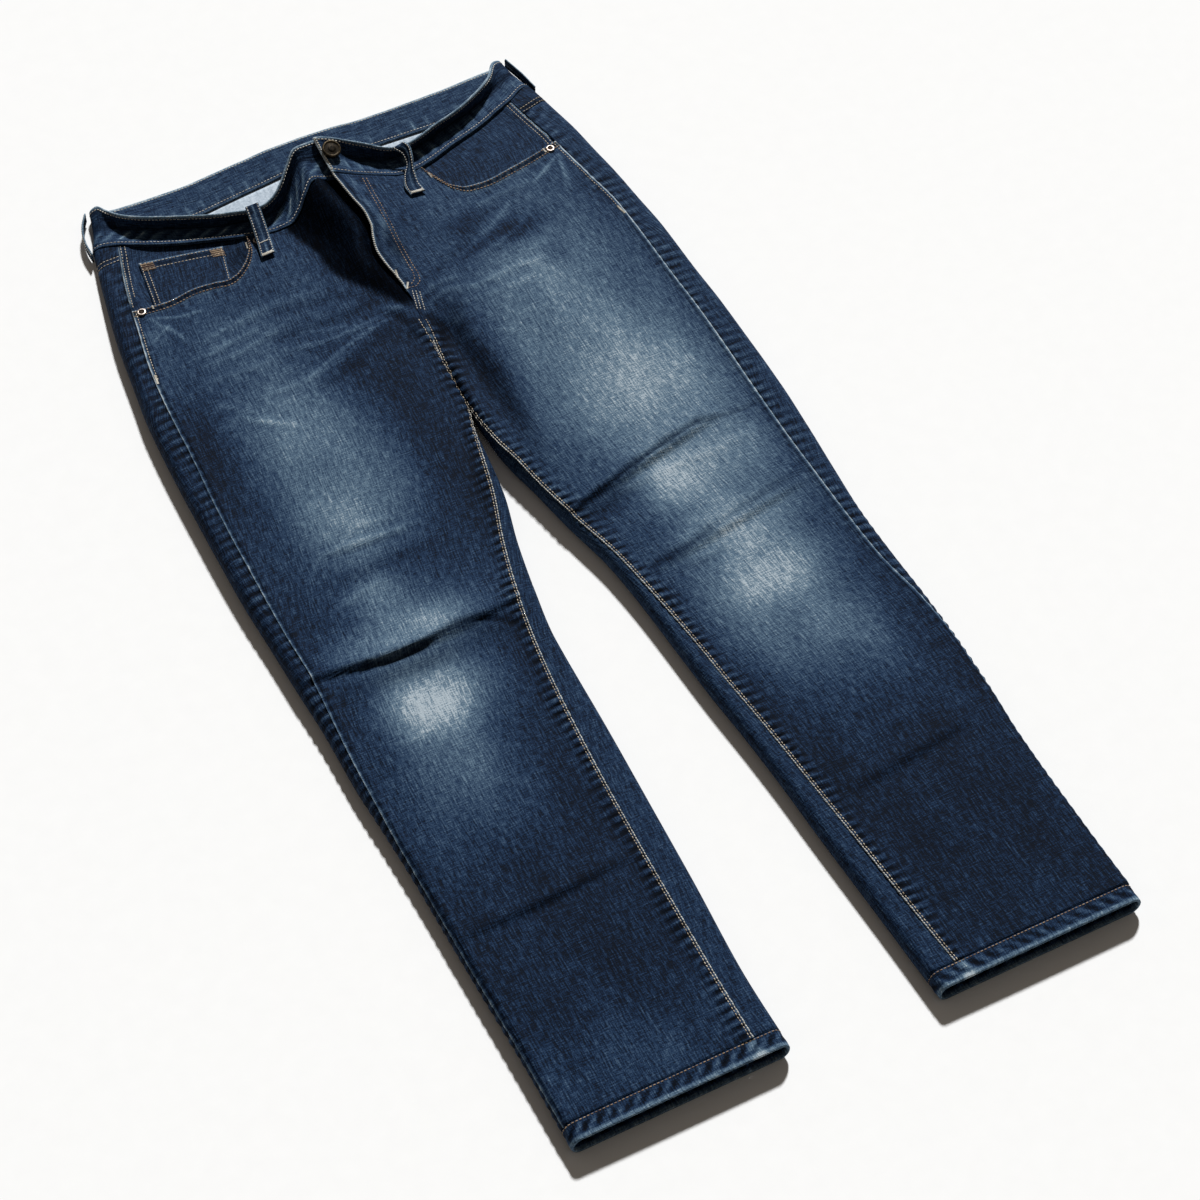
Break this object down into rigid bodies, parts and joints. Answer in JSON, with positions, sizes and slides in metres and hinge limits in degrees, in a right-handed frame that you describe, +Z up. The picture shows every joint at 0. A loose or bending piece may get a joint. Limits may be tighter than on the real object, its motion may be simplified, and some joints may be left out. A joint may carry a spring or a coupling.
{
  "type": "jeans",
  "caption": "Blue denim jeans lying flat on their back, with a slim straight leg, front pockets, coin pocket, belt loops and turned-up hems.",
  "frame": {"origin": "middle of the outline, on the surface the jeans lie on", "axes": "+Y from the hems to the waist, +X to the wearer's left, +Z up out of the front"},
  "size_m": [0.5021, 1.0326, 0.0531],
  "materials": {
    "denim": "woven, worn in places",
    "aged_brass": "aged",
    "worn_copper": "worn copper"
  },
  "bodies": {
    "root": {"back_left": "denim", "back_pocket_left": "denim", "back_pocket_right": "denim", "back_right": "denim", "button": "aged_brass", "coin_pocket": "denim", "facing_left": "denim", "facing_right": "denim", "front_left": "denim", "front_right": "denim", "hem_left": "denim", "hem_right": "denim", "loop_back": "denim", "loop_front_left": "denim", "loop_front_right": "denim", "loop_side_left": "denim", "loop_side_right": "denim", "rivet_left_outer": "worn_copper", "rivet_right_inner": "worn_copper", "rivet_right_outer": "worn_copper", "waistband": "denim", "yoke_left": "denim", "yoke_right": "denim"}
  },
  "joints": []
}
